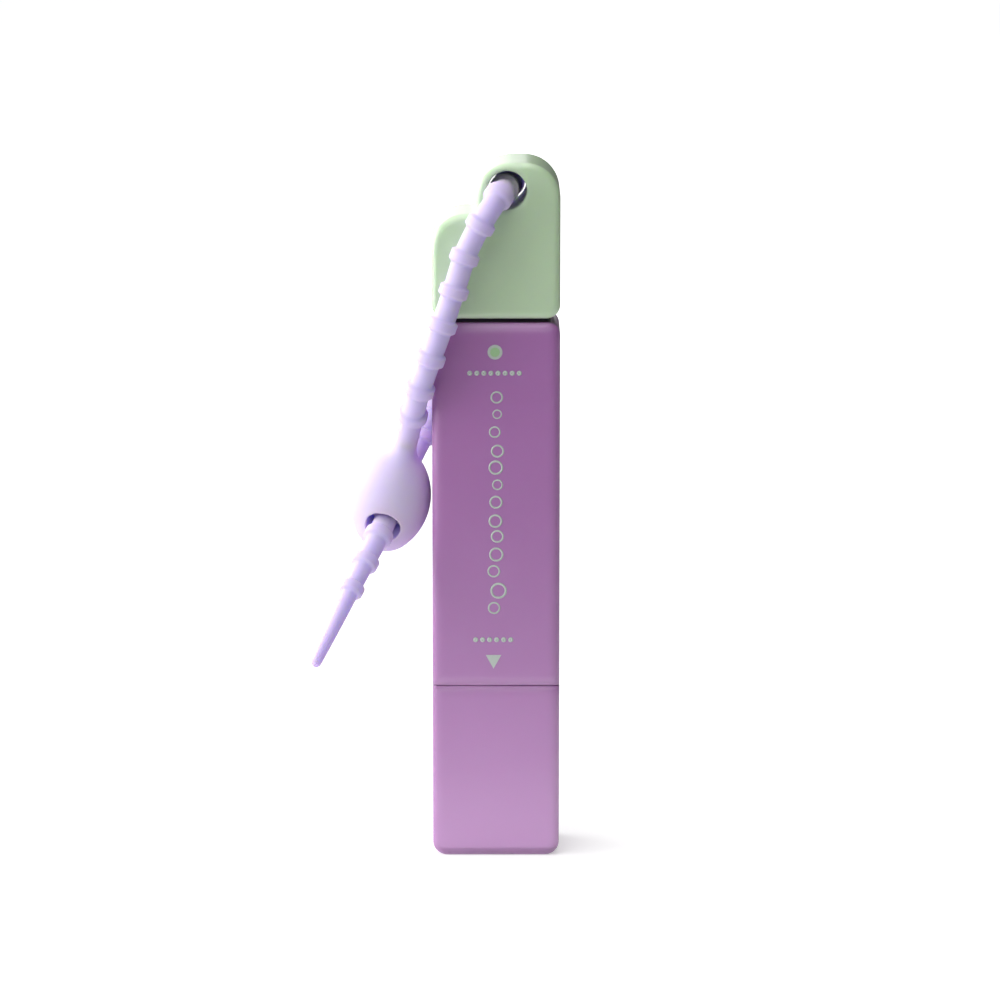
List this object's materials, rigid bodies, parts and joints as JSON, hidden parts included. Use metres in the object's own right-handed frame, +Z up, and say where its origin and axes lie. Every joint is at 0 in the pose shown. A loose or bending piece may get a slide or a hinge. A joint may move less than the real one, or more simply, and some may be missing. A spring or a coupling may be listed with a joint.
{
  "type": "stain remover pen",
  "caption": "Flat square-sided stain remover pen: valved felt applicator under a cap with a hanger ear, tufted brush under the foot cap, beaded silicone strap through the ear.",
  "frame": {"origin": "centre of the flat foot of the brush cap, on the surface that the pen stands on", "axes": "+X to the right of someone facing the printed face, +Y away from them through the pen (the printed face is on -Y), +Z up along the pen from the brush cap to the ear"},
  "size_m": [0.0349, 0.0339, 0.1],
  "materials": {
    "purple_plastic": "satin moulded casing plastic",
    "mint_plastic": "satin moulded casing plastic",
    "dark_plastic": "matt moulded insert",
    "white_plastic": "satin moulded insert",
    "natural_polyethylene": "translucent blow-moulded bottle",
    "soft_white_plastic": "soft moulded cup",
    "lilac_silicone": "matt moulded silicone",
    "black_rubber": "matt moulded rubber",
    "white_felt": "pressed polyester fibre",
    "spring_steel": "drawn wire",
    "nylon_bristle": "cut nylon filament",
    "brass": "stamped sheet"
  },
  "bodies": {
    "barrel": {"barrel": "purple_plastic", "neck_collar": "dark_plastic", "reservoir": "natural_polyethylene", "reservoir_plug": "natural_polyethylene", "neck_gasket": "black_rubber", "valve_body": "white_plastic", "seat_washer": "black_rubber", "valve_spring": "spring_steel", "valve_cage": "white_plastic", "nose_cone": "white_plastic", "brush_carrier": "white_plastic", "bristle_tufts": "nylon_bristle", "tuft_anchors": "brass"},
    "nib": {"nib": "white_felt", "valve_stem": "white_plastic"},
    "remover_cap": {"remover_cap": "mint_plastic", "cap_liner": "soft_white_plastic"},
    "strap": {"strap": "lilac_silicone", "strap_head": "lilac_silicone"},
    "brush_cap": {"brush_cap": "purple_plastic"}
  },
  "joints": [
    {"name": "remover_cap_pull", "type": "slide", "parent": "barrel", "child": "remover_cap", "axis": [0, 0, 1], "range_m": [0, 0.025]},
    {"name": "brush_cap_pull", "type": "slide", "parent": "barrel", "child": "brush_cap", "axis": [0, 0, -1], "range_m": [0, 0.03]},
    {"name": "nib_press", "type": "slide", "parent": "barrel", "child": "nib", "axis": [0, 0, -1], "range_m": [0, 0.0012], "stiffness_N_per_m": 400, "springref_m": -0.0008, "deforming": ["valve_spring"]},
    {"name": "strap_swing", "type": "hinge", "parent": "remover_cap", "child": "strap", "pos_m": [0.00158, 0, 0.09615], "axis": [0, 1, 0], "range_deg": [0, 300]}
  ]
}
